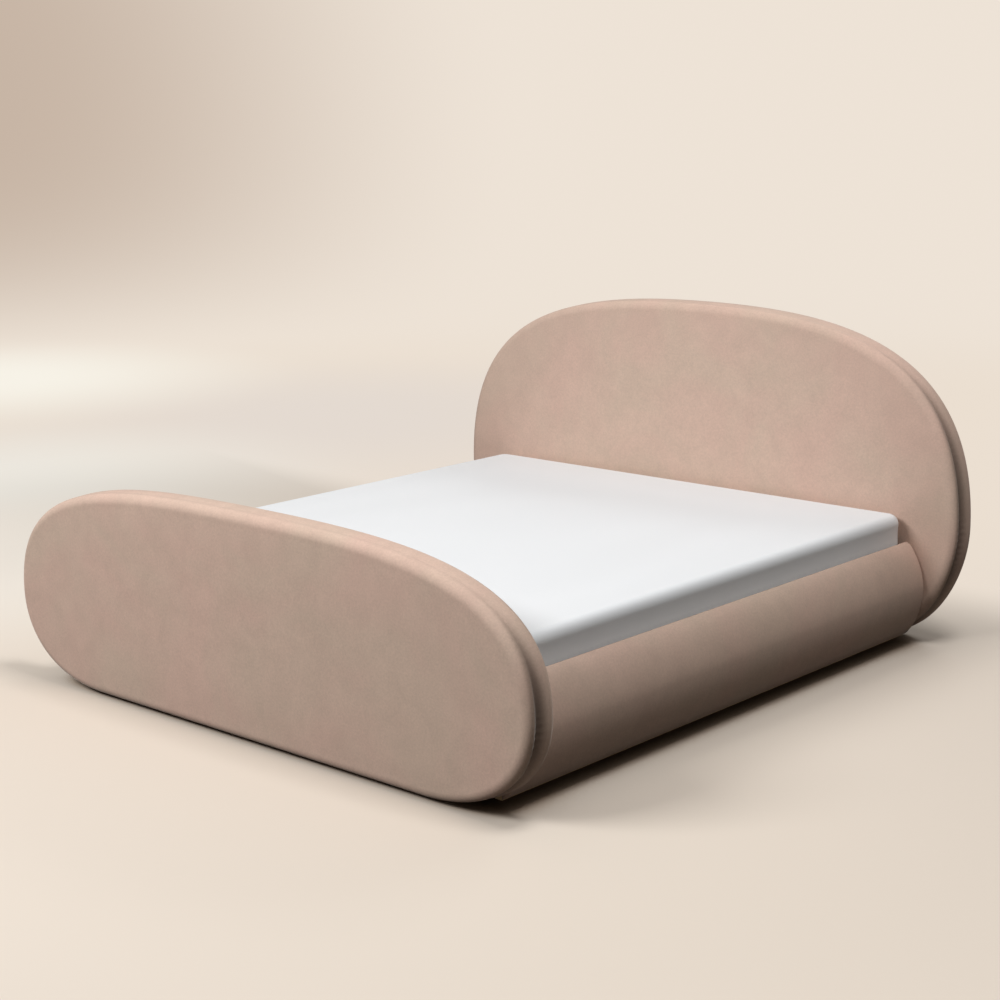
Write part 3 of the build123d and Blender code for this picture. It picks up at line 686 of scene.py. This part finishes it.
def panel_foam(name, loop, front, depth, height, core):
    """Foam of a panel: a rounded front pad and a skirt that ends short of the back, hollow behind for the
    core board. The board lies inward of the outline by core, and as deep in both panels."""
    values = bpy.context.scene.bed_upholstery
    inset = values.cover_thickness + values.seam_depth + values.pucker_depth + 2 * mm
    skin = values.cover_thickness + values.face_crown + 1 * mm
    radius = values.edge_radius - inset
    skirt_end = depth - 14 * mm
    core_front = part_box("headboard_core")[0].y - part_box("headboard_cover")[0].y - 0.5 * mm
    turn = quarter_turn(7)
    inward = np.concatenate([inset + radius * (1 - np.sin(turn)), [inset, core, core]])
    along = np.concatenate([skin + radius * (1 - np.cos(turn)), [skirt_end, skirt_end, core_front]])
    rings = carried(loop, inward, front + along)
    return panel_body(name, rings, height, front + skin, front + core_front, 4, 4)


def inner_panel(name, loop, height):
    """Thin padded panel that closes the footboard on the bed's side: a crowned face with a small rounded
    edge, a side and a flat back, drawn in from its outline."""
    low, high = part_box("footboard_inner_panel")
    edge = 5 * mm
    side_gap = 0.4 * mm
    face = high.y - 1 * mm
    face_rim = high.y - 1.4 * mm
    clear = footboard_back_radius - (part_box("footboard_cover")[1].x - high.x) + side_gap
    turn = quarter_turn(7)
    inward = np.concatenate([clear + edge * (1 - np.sin(turn)), [clear, clear + 2 * mm]])
    along = np.concatenate([face_rim - edge * (1 - np.cos(turn)), [low.y + 1 * mm, low.y]])
    return panel_body(name, carried(loop, inward, along), height, face, low.y, 11, 3)


def dress_panel(panel, shape, rim):
    """Velvet cover and foam of one panel. Returns the height of the panel's middle."""
    node = f"{panel}_cover"
    low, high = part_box(node)
    depth = high.y - low.y
    middle = (low.z + high.z) / 2
    outline = panel_outline(node, shape, panel_columns)
    cover = panel_cover(f"{panel}_velvet", outline, low.y, depth, middle, rim)
    seat(cover, velvet_material(), base_body, [node])
    core_gap = 0.3 * mm
    core = high.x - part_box(f"{panel}_core")[1].x - core_gap
    pad = panel_foam(f"{panel}_pad", panel_outline(node, shape, pad_columns), low.y, depth, middle, core)
    seat(pad, foam_material(), base_body, [f"{panel}_foam"])
    return middle


class DressHeadboard(bpy.types.Operator):
    """Velvet cover and foam of the headboard"""

    bl_idname = "bed.dress_headboard"
    bl_label = "Headboard"

    def execute(self, context):
        dress_panel("headboard", headboard_shape, headboard_back_radius)
        return {"FINISHED"}


class DressFootboard(bpy.types.Operator):
    """Velvet cover, foam and inner panel of the footboard"""

    bl_idname = "bed.dress_footboard"
    bl_label = "Footboard"

    def execute(self, context):
        middle = dress_panel("footboard", footboard_shape, footboard_back_radius)
        outline = panel_outline("footboard_inner_panel", footboard_shape, inner_panel_columns)
        inner = inner_panel("footboard_inner_velvet", outline, middle)
        seat(inner, velvet_material(), base_body, ["footboard_inner_panel"])
        return {"FINISHED"}


def rail_section(side, inset, count):
    """Outer curve of a rail's barrel section in X and Z, from its top to its bottom, drawn in by inset."""
    low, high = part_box("rail_cover_right")
    foot_rise = 4 * mm
    top = (low.x, high.z - inset)
    widest = (high.x - inset, rail_widest)
    foot = (low.x, low.z + foot_rise + inset)
    return bulged_side(top, widest, foot, rail_shape_shares, count) * [side, 1]


def rail_cover(name, side):
    """Velvet of a rail: its section is the barrel's outer curve and the same curve a skin's thickness in.
    Towards both ends its rounded side rolls in, and a plate closes each end over the board and the foam."""
    low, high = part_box("rail_cover_right")
    skin_thickness = 3.2 * mm
    outer = rail_section(side, 0, 30)
    inner = rail_section(side, skin_thickness, 30)[::-1]
    end_reach = 0.4 * mm
    plate = 2.4 * mm
    roll = 12 * mm
    turn = quarter_turn(8)
    inside = np.linspace(low.y + roll, high.y - roll, 42)[1:-1]
    roll_start = low.y + plate + 0.01 * mm
    foot_end = np.concatenate([[low.y - end_reach, low.y - end_reach + plate],
                               roll_start + (roll - plate) * (1 - np.cos(turn))])
    along = np.concatenate([foot_end, inside, -foot_end[::-1]])
    rolled = np.concatenate([[1, 0.6], 0.6 * (1 - np.sin(turn)), np.zeros(len(inside)),
                             0.6 * (1 - np.sin(turn))[::-1], [0.6, 1]])
    slack = 0.7 * mm * (np.sin(9 * along) * np.sin(23 * along + 1) + np.sin(4.1 * along))
    skin = np.repeat(outer[None], len(along), axis=0)
    skin[..., 0] -= side * slack[:, None] * np.sin(np.pi * np.linspace(0, 1, len(outer)))[None]
    lining = np.repeat(inner[None], len(along), axis=0)
    lining[[0, 1, -2, -1], :, 0] = side * low.x
    section = np.concatenate([skin, lining], axis=1)
    beyond_board = (np.abs(section[..., 0]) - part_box("rail_board_right")[1].x) / (high.x - low.x)
    section[..., 0] -= side * roll * rolled[:, None] * np.clip(1.4 * beyond_board, 0, 1)
    return closed_rings(name, joined(section[..., 0], along[:, None], section[..., 1]))


def rail_pad(name, side):
    """Foam of a rail: thick between the cover and the rail board's outer face, and a thin wrap above and
    below the board."""
    low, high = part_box("rail_cover_right")
    board_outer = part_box("rail_board_right")[1].x + 0.4 * mm
    below_cover = 4.2 * mm
    wrap = 1.4 * mm
    end_gap = 12 * mm
    outside = rail_section(side, below_cover, 40)
    inside = rail_section(side, below_cover + wrap, 60)[::-1]
    inside = inside[np.abs(inside[:, 0]) < board_outer]
    below = inside[inside[:, 1] < rail_widest]
    above = inside[inside[:, 1] > rail_widest]
    corners = [[side * board_outer, below[-1, 1]], [side * board_outer, above[0, 1]]]
    section = np.vstack([outside, below, corners, above])
    along = np.linspace(low.y + end_gap, high.y - end_gap, 12)
    return closed_rings(name, joined(section[:, 0], along[:, None], section[:, 1]))


class DressRails(bpy.types.Operator):
    """Velvet skins and foam of both side rails"""

    bl_idname = "bed.dress_rails"
    bl_label = "Side rails"

    def execute(self, context):
        for name, side in (("right", 1), ("left", -1)):
            cover = rail_cover(f"rail_velvet_{name}", side)
            seat(cover, velvet_material(), base_body, [f"rail_cover_{name}"])
            pad = rail_pad(f"rail_pad_{name}", side)
            seat(pad, foam_material(), base_body, [f"rail_foam_{name}"])
        return {"FINISHED"}


def rounded_plan(half_x, half_y, middle, radius, count):
    """Rounded rectangle in X and Y, clockwise seen from above, from the middle of the head end."""
    turn = quarter_turn(24)
    corners = []
    for sx, sy, start in ((1, 1, np.pi / 2), (1, -1, 0), (-1, -1, -np.pi / 2), (-1, 1, np.pi)):
        angle = start - turn
        corners.append(np.stack([sx * (half_x - radius) + radius * np.cos(angle),
                                 middle + sy * (half_y - radius) + radius * np.sin(angle)], -1))
    return evenly(np.vstack([[[0, middle + half_y]], *corners]), count)


class DressMattress(bpy.types.Operator):
    """Mattress with a soft top edge and a knitted cover"""

    bl_idname = "bed.dress_mattress"
    bl_label = "Mattress"

    def execute(self, context):
        values = context.scene.bed_mattress
        low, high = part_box("mattress")
        middle = (low.y + high.y) / 2
        half_x, half_y = (high.x - low.x) / 2, (high.y - low.y) / 2
        top = values.top_radius
        base = values.base_radius
        waist_height = 74 * mm
        ripple_height = 0.5 * mm
        loop = rounded_plan(half_x, half_y, middle, values.corner_radius, mattress_columns)
        turn = quarter_turn(14)
        side = np.linspace(high.z - top, low.z + base, 26)[1:-1]
        drawn = values.side_waist * np.sin(np.pi * np.clip((high.z - top - side) / waist_height, 0, 1))
        inward = np.concatenate([top * (1 - np.sin(turn)), drawn, base * (1 - np.cos(turn))])
        height = np.concatenate([high.z - top * (1 - np.cos(turn)), side, low.z + base * (1 - np.sin(turn))])
        flat = loop - outward(loop) * inward[:, None, None]
        body = joined(flat[..., 0], flat[..., 1], height[:, None])
        centre = np.array([0, middle])
        r = np.linspace(0, 1, 26)[1:-1, None] ** 0.8
        plane = centre + (flat[0] - centre) * r[..., None]
        ripple = ripple_height * np.sin(5 * plane[..., 0] + 1) * np.sin(4 * plane[..., 1]) * (1 - r ** 6)
        rise = values.crown * (1 - r ** 2)
        top_rows = joined(plane[..., 0], plane[..., 1], high.z + rise + ripple)
        under = centre + (flat[-1] - centre) * np.linspace(1, 0, 6)[1:-1, None, None]
        rings = np.concatenate([top_rows, body, joined(under[..., 0], under[..., 1], low.z)])
        crown_point = np.array([0, middle, high.z + values.crown])
        piece = closed_rings("mattress_body", rings, crown_point, np.array([0, middle, low.z]))
        cloth = tuple(values.cloth)
        gap = tuple(0.97 * part for part in cloth)
        knit = woven_material("mattress_knit", cloth, gap, 3100.0, 0.55, 0.15)
        seat(piece, knit, lift_body, ["mattress"])
        return {"FINISHED"}


class DressStraps(bpy.types.Operator):
    """Webbing pull straps on the foot tube"""

    bl_idname = "bed.dress_straps"
    bl_label = "Pull straps"

    def execute(self, context):
        low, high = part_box("pull_straps")
        spacing = high.x - low.x - strap_width
        web = woven_material("strap_webbing", (0.10, 0.10, 0.105), (0.02, 0.02, 0.022), 1600.0, 0.7, 0.2)
        for name, side in (("right", 1), ("left", -1)):
            piece = strap_loop(f"pull_strap_{name}", side * spacing / 2, low, high)
            seat(piece, web, lift_body, ["pull_straps"] if side > 0 else ())
        return {"FINISHED"}


def strap_loop(name, x, low, high):
    """Strap of webbing: a flat, finely ridged section with thinner edges, carried up, round a narrow loop
    and back down."""
    thick = 1.4 * mm
    gap = (high.y - low.y) / 2 - thick / 2 - 0.1 * mm
    middle = (low.y + high.y) / 2
    top = high.z - gap - thick
    turn = np.linspace(0, np.pi, 13)[1:-1]
    up = np.linspace(low.z, top, 20)
    path = np.concatenate([
        np.stack([np.full(20, middle + gap), up], -1),
        np.stack([middle + gap * np.cos(turn), top + gap * np.sin(turn)], -1),
        np.stack([np.full(20, middle - gap), up[::-1]], -1),
    ])
    travel = np.gradient(path, axis=0)
    travel /= np.linalg.norm(travel, axis=1)[:, None]
    normal = np.stack([travel[:, 1], -travel[:, 0]], -1)
    across = np.concatenate([np.linspace(-1, 1, 15), np.linspace(1, -1, 15)])
    ridge = 0.5 * thick * (1 - 0.25 * np.abs(np.cos(7 * np.pi * across)))
    ridge = np.where(np.abs(across) > 0.99, 0.35 * thick, ridge)
    offset = np.concatenate([ridge[:15], -ridge[15:]])
    flat = path[:, None] + normal[:, None] * offset[None, :, None]
    return closed_rings(name, joined(x + strap_width / 2 * across, flat[..., 0], flat[..., 1]))


class DressFrameNodes(bpy.types.Operator):
    """Finishes of the frame's own nodes: wood, metal, plastic, rubber and cloth"""

    bl_idname = "bed.dress_frame_nodes"
    bl_label = "Base, lift frame and mechanism"

    def execute(self, context):
        slots = {part["node"]: part["material_slot"] for part in frame["record"]["subparts"]}
        floor_tones = ((0.42, 0.30, 0.19), (0.375, 0.262, 0.162))
        beech_tones = ((0.76, 0.58, 0.37), (0.62, 0.42, 0.24))
        dust_cloth_tones = ((0.09, 0.088, 0.086), (0.035, 0.034, 0.034))
        finishes = {
            "board": wood_material("rail_board", (0.60, 0.45, 0.29), (0.47, 0.33, 0.19), (9, 3, 30)),
            "timber": wood_material("softwood", (0.72, 0.55, 0.34), (0.52, 0.34, 0.17), (3, 30, 30)),
            "hardboard": wood_material("floor_board", *floor_tones, (160, 160, 160)),
            "beech_slats": wood_material("beech_slat", *beech_tones, (3, 40, 60), 0.3),
            "black_plastic": moulded_material("moulded_plastic", (0.035, 0.035, 0.038), 0.5, 900.0),
            "frame_paint": metal_material("frame_coat", (0.07, 0.07, 0.073), (900, 900, 900), 0.45, 0.0),
            "zinc_steel": metal_material("zinc_plate", (0.62, 0.63, 0.64), (60, 60, 900), 0.34),
            "bright_steel": metal_material("polished_steel", (0.68, 0.68, 0.69), (300, 300, 300), 0.26),
            "rubber_pad": moulded_material("soft_rubber", (0.03, 0.03, 0.03), 0.8, 500.0),
            "strut_paint": metal_material("strut_coat", (0.02, 0.02, 0.021), (500, 500, 500), 0.25, 0.0),
            "chrome_rod": metal_material("hard_chrome", (0.8, 0.81, 0.82), (40, 40, 40), 0.08),
            "back_cloth": woven_material("dust_cloth", *dust_cloth_tones, 1100.0, 0.9, 0.1),
            "velvet": velvet_material(),
            "foam": foam_material(),
        }
        for name, node in frame["nodes"].items():
            finish = finishes.get(slots[name])
            if finish is not None:
                node.data.materials.clear()
                node.data.materials.append(finish)
        return {"FINISHED"}


def direction(azimuth, elevation):
    """Unit vector towards a place at an azimuth and an elevation in radians, seen from the bed."""
    level = math.cos(elevation)
    return Vector((math.sin(azimuth) * level, -math.cos(azimuth) * level, math.sin(elevation)))


def lamp(name, azimuth, elevation, distance, size, level):
    """Rectangular soft lamp at an azimuth and an elevation in degrees, that faces the bed's middle."""
    watts_for_level_at_a_metre = 8.5
    back = direction(math.radians(azimuth), math.radians(elevation))
    data = bpy.data.lights.new(name, "AREA")
    data.shape = "RECTANGLE"
    data.size, data.size_y = size
    data.energy = level * watts_for_level_at_a_metre * distance ** 2
    made = bpy.data.objects.new(name, data)
    bpy.context.scene.collection.objects.link(made)
    made.location = Vector((0, 0, 0.35)) + back * distance
    made.rotation_mode = "QUATERNION"
    made.rotation_quaternion = back.to_track_quat("Z", "Y")


class SetStage(bpy.types.Operator):
    """Floor that curves up into a backdrop all round, soft lamps and the camera"""

    bl_idname = "bed.set_stage"
    bl_label = "Stage"

    def execute(self, context):
        values = context.scene.bed_stage
        scene = context.scene
        scene.view_settings.view_transform = "Standard"
        make_cove(values)
        lamp("key_lamp", 80, 70, 8.0, (2.0, 2.0), values.key_level)
        lamp("front_lamp", -18, 36, 7.4, (3.4, 2.2), values.front_level)
        lamp("rim_lamp", 170, 42, 6.0, (3.6, 1.2), values.rim_level)
        world = bpy.data.worlds.new("studio_air")
        scene.world = world
        world.use_nodes = True
        air = {"Color": (1.0, 0.985, 0.965, 1), "Strength": values.air_level}
        set_constants(world.node_tree.nodes["Background"], air)
        camera = bpy.data.objects.new("camera", bpy.data.cameras.new("camera"))
        scene.collection.objects.link(camera)
        camera.data.lens = values.lens
        camera.data.sensor_width = 36
        back = direction(values.azimuth, values.elevation)
        level = Vector((math.cos(values.azimuth), math.sin(values.azimuth), 0))
        right = level * math.cos(values.roll) + back.cross(level) * math.sin(values.roll)
        turn = Matrix((right, back.cross(right), back)).transposed()
        camera.matrix_world = Matrix.Translation(Vector(values.camera_place)) @ turn.to_4x4()
        scene.camera = camera
        return {"FINISHED"}


def make_cove(values):
    """Floor and backdrop in one: a flat disc that curves up in a quarter circle to a wall all round."""
    flat, rise, wall = 9.0, 3.0, 7.0
    turn = quarter_turn(20)[1:]
    radius = np.concatenate([np.linspace(0.2, flat, 24), flat + rise * np.sin(turn), [flat + rise]])[:, None]
    height = np.concatenate([np.zeros(24), rise * (1 - np.cos(turn)), [wall]])[:, None]
    angle = np.linspace(0, 2 * np.pi, 128, endpoint=False)
    rings = joined(radius * np.cos(angle), radius * np.sin(angle), height)
    middle = np.arange(len(angle))[::-1].tolist()
    cove = smooth_object("cove", rings.reshape(-1, 3), ring_faces(*rings.shape[:2]).tolist() + [middle])
    cove.data.materials.append(cove_material(values))


def cove_material(values):
    """Matte floor near the bed that turns into an evenly lit backdrop further out and behind the headboard,
    with soft painted pools of light and shade: a painted pale glow at the far left, painted shade on the
    wall above it, and painted lighter and darker places on the floor. Shade is also painted into the floor's
    colour by ambient occlusion, darkest and warmest where the bed stands close over it."""
    material, tree, shader, vector = new_material("cove_paper")
    smooth = "SMOOTHSTEP"
    under_bed, open_level = 0.2, 0.87
    flat = product(tree, vector, (1, 1, 0))
    distance = put(tree, "ShaderNodeVectorMath", {0: flat}, operation="LENGTH").outputs["Value"]
    to_wall = spread(tree, distance, 6.0, 10.5, how=smooth)
    on_wall = spread(tree, distance, 8.4, 11.6, how=smooth)
    colour = blend_colour(tree, to_wall, (*values.floor, 1), (*values.wall, 1))
    # Pools of painted light and shade: each has a centre, the distance within which it is full, the distance
    # at which it is gone, a tone and a mask
    pools = (
        ((-3.9, 3.1, 0), 0.3, 3.0, (0.775, 0.70, 0.635), 1.0),
        ((-3.9, 0.7, 0), 0.2, 2.0, (0.84, 0.80, 0.73), 1.0),
        ((-6.9, 2.6, 0), 0.2, 2.3, values.glow, 1.0),
        ((-12.5, 4.0, 1.5), 2.2, 7.0, values.painted_wall_shade, on_wall),
        ((2.6, 1.4, 0), 0.4, 3.2, (0.80, 0.71, 0.62), 1.0),
        ((-2.4, -0.2, 0), 0.3, 1.6, (0.96, 0.89, 0.80), 1.0),
        ((0.3, -2.6, 0), 0.2, 2.6, (0.785, 0.70, 0.61), 1.0),
    )
    for centre, full, gone, tone, mask in pools:
        away = put(tree, "ShaderNodeVectorMath", {0: vector, 1: centre}, operation="DISTANCE").outputs[1]
        share = calc(tree, "MULTIPLY", spread(tree, away, full, gone, 1.0, 0.0, smooth), mask)
        colour = blend_colour(tree, share, colour, (*tone, 1))
    # Painted shade: ambient occlusion darkens the floor's colour under and beside the bed; beyond the
    # panels' faces only a quarter of it is kept
    covered = put(tree, "ShaderNodeAmbientOcclusion", {"Distance": 0.3}, samples=16).outputs["AO"]
    painted_contact_shade = spread(tree, covered, 0.25, 0.52, under_bed, open_level)
    along = put(tree, "ShaderNodeSeparateXYZ", {0: vector}).outputs[1]
    beyond = spread(tree, calc(tree, "ABSOLUTE", along), 1.03, 1.12, 0.0, 0.75)
    painted_contact_shade = put(tree, "ShaderNodeMix", {0: beyond, 2: painted_contact_shade, 3: open_level}).outputs[0]
    path = put(tree, "ShaderNodeLightPath").outputs
    bounce = spread(tree, path["Is Diffuse Ray"], 0.0, 1.0, 1.0, 0.14)
    # The painted shade is tinted warm, most where it is darkest
    open_share = spread(tree, painted_contact_shade, under_bed, 0.8)
    painted_shade_tint = blend_colour(tree, open_share, (1.0, 0.78, 0.60, 1), (1.0, 1.0, 1.0, 1))
    shade = calc(tree, "MULTIPLY", painted_contact_shade, bounce)
    tree.links.new(scaled(tree, product(tree, colour, painted_shade_tint), shade), shader.inputs["Base Color"])
    set_constants(shader, {"Roughness": 0.9, "Specular IOR Level": 0.1})
    seen = calc(tree, "MAXIMUM", path["Is Camera Ray"], path["Is Glossy Ray"])
    seen = calc(tree, "MAXIMUM", seen, path["Is Transmission Ray"])
    strength = calc(tree, "MAXIMUM", calc(tree, "MULTIPLY", on_wall, 0.35 * values.air_level), seen)
    glowing = put(tree, "ShaderNodeEmission", {"Color": colour, "Strength": strength}).outputs[0]
    outer = spread(tree, distance, 2.0, 4.4, how=smooth)
    behind = spread(tree, along, 1.25, 1.9, how=smooth)
    share = calc(tree, "MAXIMUM", outer, behind)
    mixed = put(tree, "ShaderNodeMixShader", {0: share, 1: shader.outputs[0], 2: glowing}).outputs[0]
    tree.links.new(mixed, tree.nodes["Material Output"].inputs["Surface"])
    return material


class BedPanel(bpy.types.Panel):
    """Lists the pieces of the bed and the values that they use"""

    bl_idname = "VIEW3D_PT_bed"
    bl_label = "Oval ottoman bed"
    bl_space_type = "VIEW_3D"
    bl_region_type = "UI"
    bl_category = "Bed"

    def draw(self, context):
        for operator in operators:
            self.layout.operator(operator.bl_idname)
        for values in (context.scene.bed_upholstery, context.scene.bed_mattress, context.scene.bed_stage):
            column = self.layout.column()
            for name in values.bl_rna.properties.keys():
                if name not in ("rna_type", "name"):
                    column.prop(values, name)


operators = (
    DressFrameNodes, DressHeadboard, DressFootboard, DressRails, DressMattress, DressStraps, SetStage,
)
value_groups = (
    ("bed_upholstery", UpholsteryValues),
    ("bed_mattress", MattressValues),
    ("bed_stage", StageValues),
)


def register():
    """Adds the values, the operators and the panel to Blender."""
    for name, group in value_groups:
        bpy.utils.register_class(group)
        setattr(bpy.types.Scene, name, bpy.props.PointerProperty(type=group))
    for operator in operators:
        bpy.utils.register_class(operator)
    bpy.utils.register_class(BedPanel)


def unregister():
    """Takes them out again, in the opposite order."""
    bpy.utils.unregister_class(BedPanel)
    for operator in reversed(operators):
        bpy.utils.unregister_class(operator)
    for name, group in reversed(value_groups):
        delattr(bpy.types.Scene, name)
        bpy.utils.unregister_class(group)


def main():
    """Makes every piece in order."""
    register()
    bpy.ops.bed.dress_frame_nodes()
    bpy.ops.bed.dress_headboard()
    bpy.ops.bed.dress_footboard()
    bpy.ops.bed.dress_rails()
    bpy.ops.bed.dress_mattress()
    bpy.ops.bed.dress_straps()
    bpy.ops.bed.set_stage()


if __name__ == "__main__":
    main()
